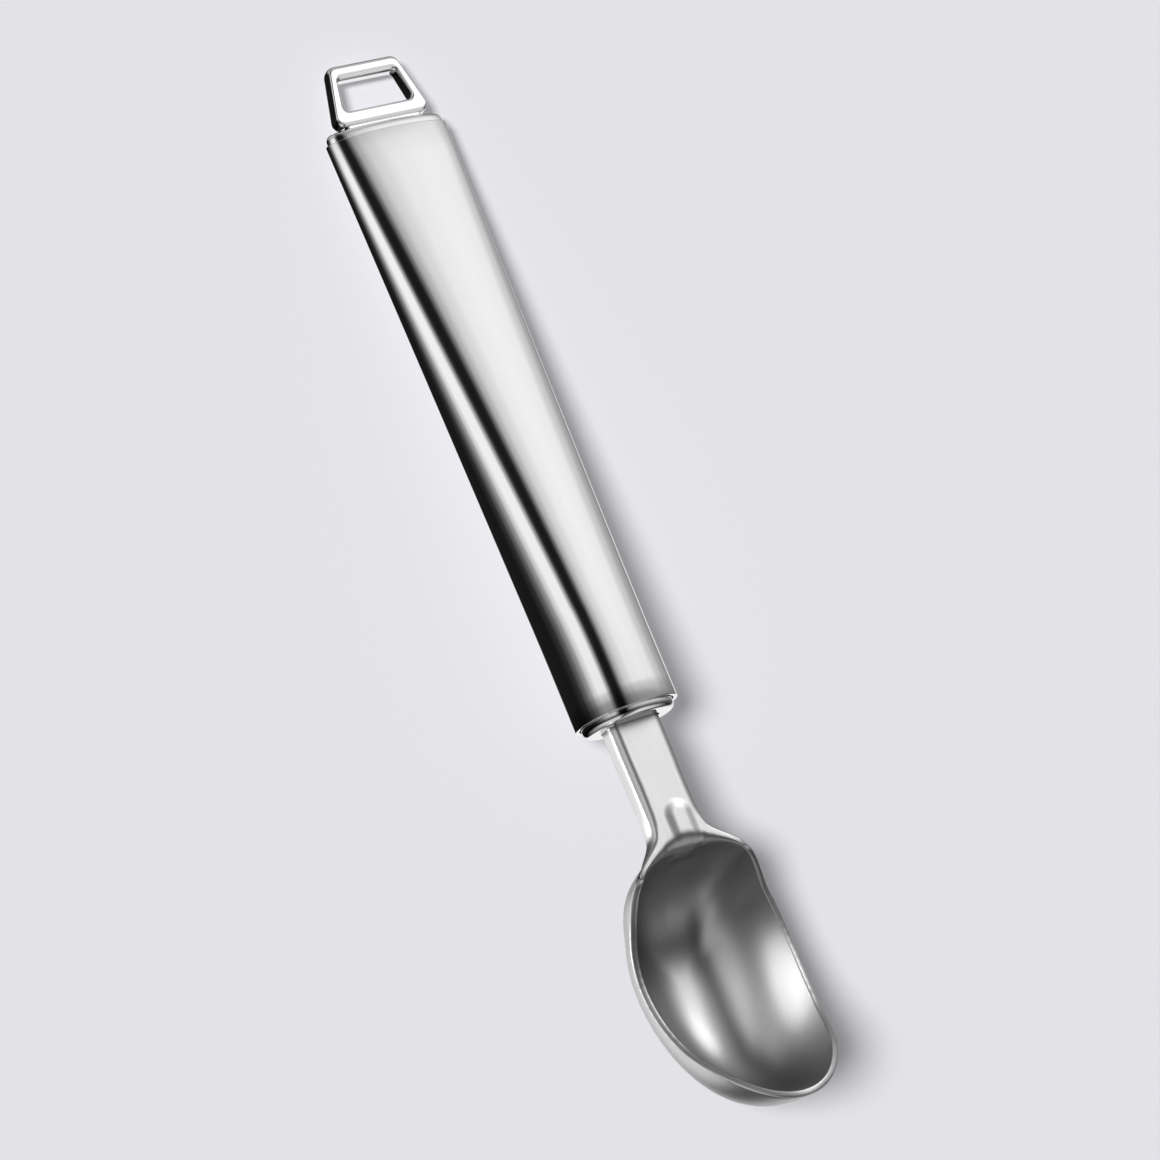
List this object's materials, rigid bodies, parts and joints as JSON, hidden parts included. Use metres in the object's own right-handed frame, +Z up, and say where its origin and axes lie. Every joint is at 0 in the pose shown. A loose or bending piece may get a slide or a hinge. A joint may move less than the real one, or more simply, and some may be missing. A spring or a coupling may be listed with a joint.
{
  "type": "ice scoop",
  "caption": "Stainless steel scoop with a deep egg-shaped bowl, a channel shank, a hollow handle that flattens to its end, and a hanging loop.",
  "frame": {"origin": "on the surface that the scoop lies on, below the middle of its bounding box", "axes": "+Y along the scoop from the bowl to the hanging loop, +Z up, out of the open side of the bowl, +X to the right when looking along +Y"},
  "size_m": [0.0322, 0.2032, 0.0327],
  "materials": {
    "satin_steel": "satin, finely brushed",
    "polished_steel": "near-mirror polish with a faint lengthwise grain",
    "mirror_steel": "mirror polish",
    "cap_steel": "polished",
    "loop_steel": "bright polish, cast"
  },
  "bodies": {
    "root": {"scoop_head": "satin_steel", "handle_tube": "polished_steel", "front_cap": "mirror_steel", "rear_cap": "cap_steel", "hanging_loop": "loop_steel"}
  },
  "joints": []
}
